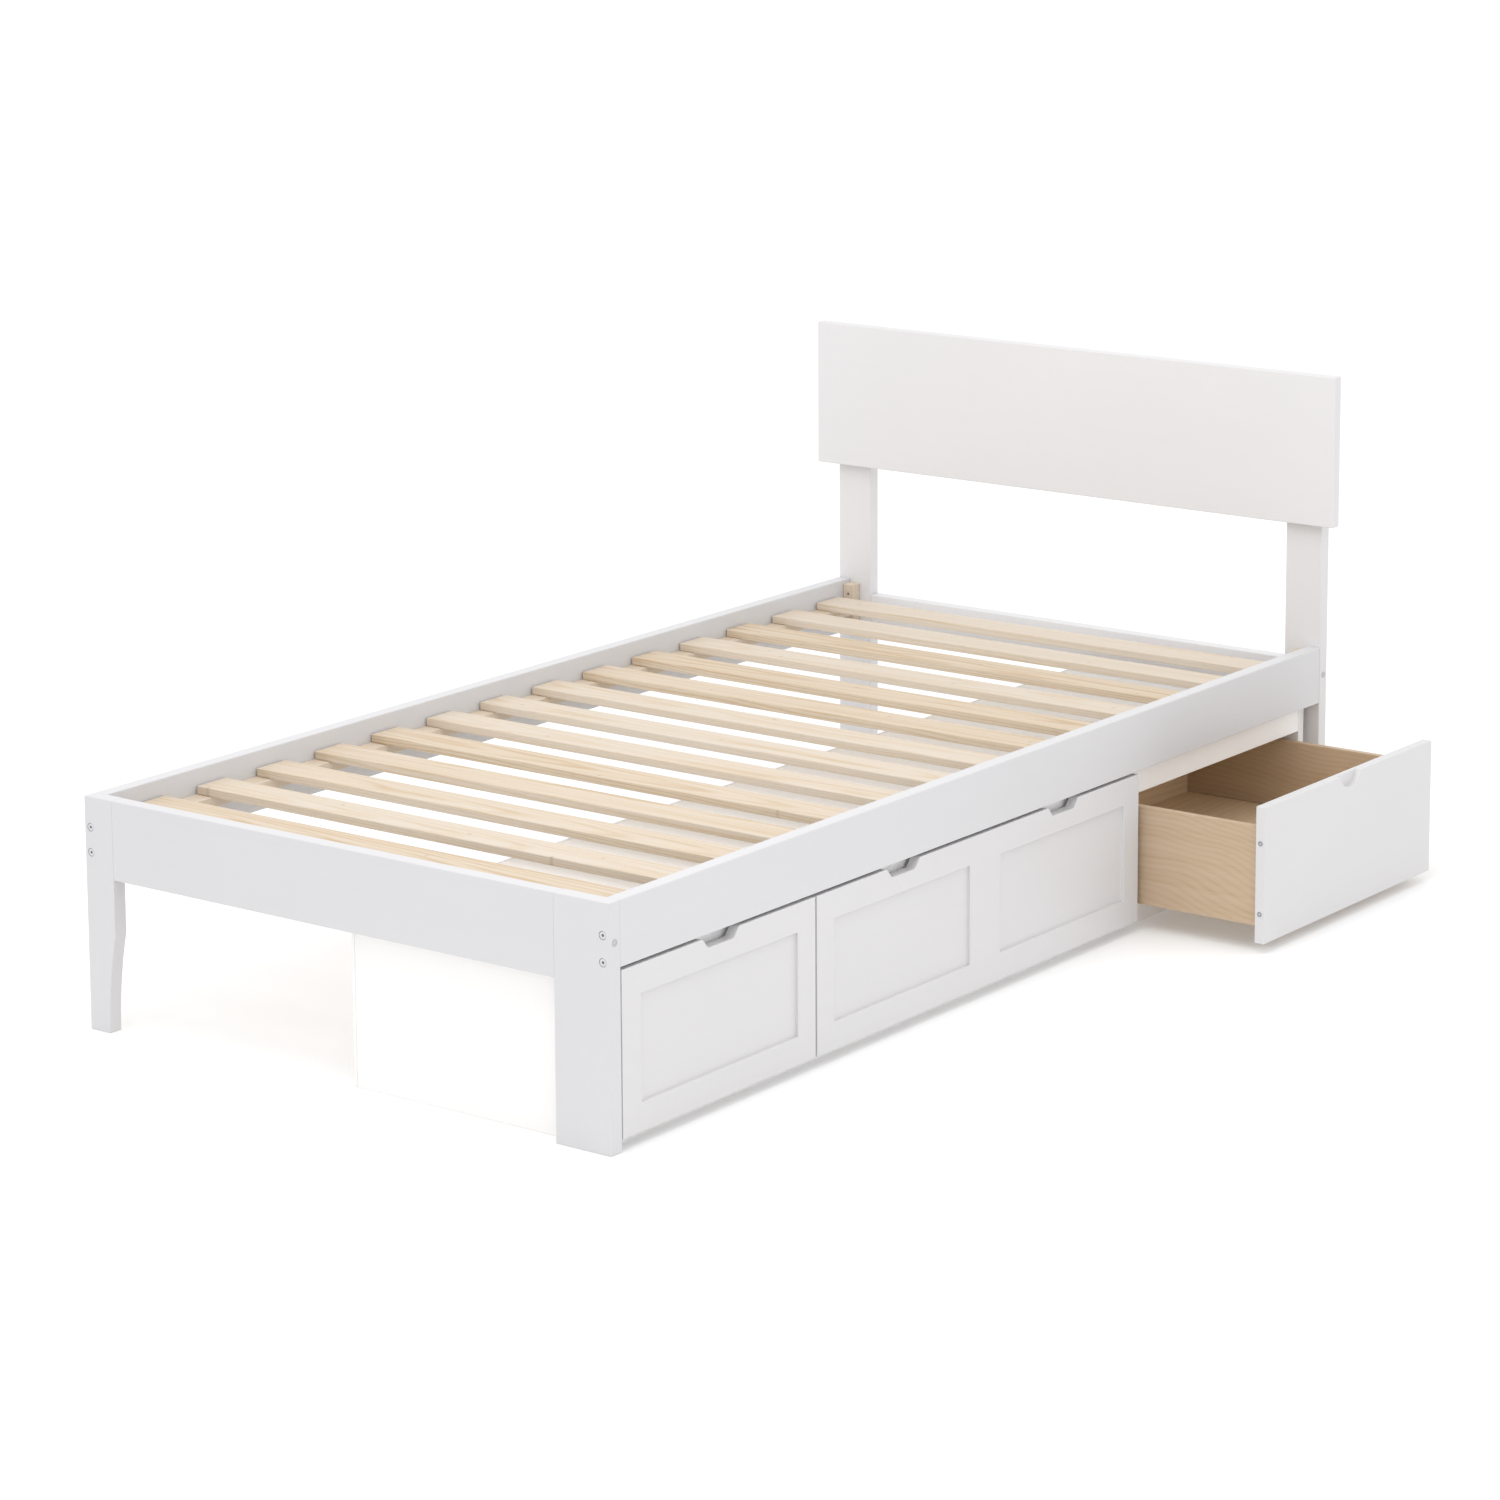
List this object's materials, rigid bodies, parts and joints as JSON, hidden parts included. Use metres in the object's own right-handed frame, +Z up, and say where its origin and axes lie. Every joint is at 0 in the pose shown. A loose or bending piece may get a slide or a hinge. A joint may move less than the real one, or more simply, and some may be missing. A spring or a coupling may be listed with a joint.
{
  "type": "bed frame",
  "caption": "Single slatted bed frame with a flat panel headboard, a low foot rail on flat legs, and a row of pull-out drawers under one side.",
  "frame": {"origin": "on the floor, under the middle of the bounding box with the head drawer standing open as stored; this is 106 mm to the drawer side of the bed's own centreline", "axes": "+X to the drawer side, +Y from the foot to the head, +Z up"},
  "size_m": [1.34, 2.07, 0.88],
  "materials": {
    "frame_paint": "white satin paint on wood",
    "front_paint": "white satin paint on wood",
    "bay_paint": "white satin paint on board",
    "pine": "planed, unfinished",
    "drawer_timber": "clear matt lacquer",
    "drawer_ply": "clear matt lacquer",
    "bolt_steel": "zinc plated"
  },
  "bodies": {
    "frame": {"headboard_panel": "frame_paint", "headboard_post_left": "frame_paint", "headboard_post_right": "frame_paint", "headboard_cross_rail": "frame_paint", "foot_rail": "frame_paint", "foot_leg_left": "frame_paint", "foot_leg_right": "frame_paint", "side_rail_left": "frame_paint", "side_rail_right": "frame_paint", "slat_ledge_left": "pine", "slat_ledge_right": "pine", "corner_block_left": "pine", "corner_block_right": "pine", "slat_01": "pine", "slat_02": "pine", "slat_03": "pine", "slat_04": "pine", "slat_05": "pine", "slat_06": "pine", "slat_07": "pine", "slat_08": "pine", "slat_09": "pine", "slat_10": "pine", "slat_11": "pine", "slat_12": "pine", "slat_13": "pine", "slat_14": "pine", "leg_bolt_left_lower": "bolt_steel", "leg_bolt_left_upper": "bolt_steel", "leg_bolt_right_lower": "bolt_steel", "leg_bolt_right_upper": "bolt_steel", "bay_apron": "bay_paint", "bay_base_rail": "bay_paint", "bay_end_panel_foot": "bay_paint", "bay_end_panel_head": "bay_paint", "bay_back_panel": "bay_paint", "bay_top_panel": "bay_paint", "bay_partition_foot": "bay_paint", "bay_partition_head": "bay_paint", "bay_bearer_foot": "bay_paint", "bay_bearer_foot_middle": "bay_paint", "bay_bearer_middle_head": "bay_paint", "bay_bearer_head": "bay_paint"},
    "drawer_foot": {"drawer_foot_front": "front_paint", "drawer_foot_side_foot": "drawer_timber", "drawer_foot_side_head": "drawer_timber", "drawer_foot_back": "drawer_timber", "drawer_foot_bottom": "drawer_ply"},
    "drawer_middle": {"drawer_middle_front": "front_paint", "drawer_middle_side_foot": "drawer_timber", "drawer_middle_side_head": "drawer_timber", "drawer_middle_back": "drawer_timber", "drawer_middle_bottom": "drawer_ply"},
    "drawer_head": {"drawer_head_front": "front_paint", "drawer_head_side_foot": "drawer_timber", "drawer_head_side_head": "drawer_timber", "drawer_head_back": "drawer_timber", "drawer_head_bottom": "drawer_ply"}
  },
  "joints": [
    {"name": "drawer_foot_slide", "type": "slide", "parent": "frame", "child": "drawer_foot", "axis": [1, 0, 0], "range_m": [0, 0.4]},
    {"name": "drawer_middle_slide", "type": "slide", "parent": "frame", "child": "drawer_middle", "axis": [1, 0, 0], "range_m": [0, 0.4]},
    {"name": "drawer_head_slide", "type": "slide", "parent": "frame", "child": "drawer_head", "axis": [1, 0, 0], "range_m": [-0.246, 0.154]}
  ]
}
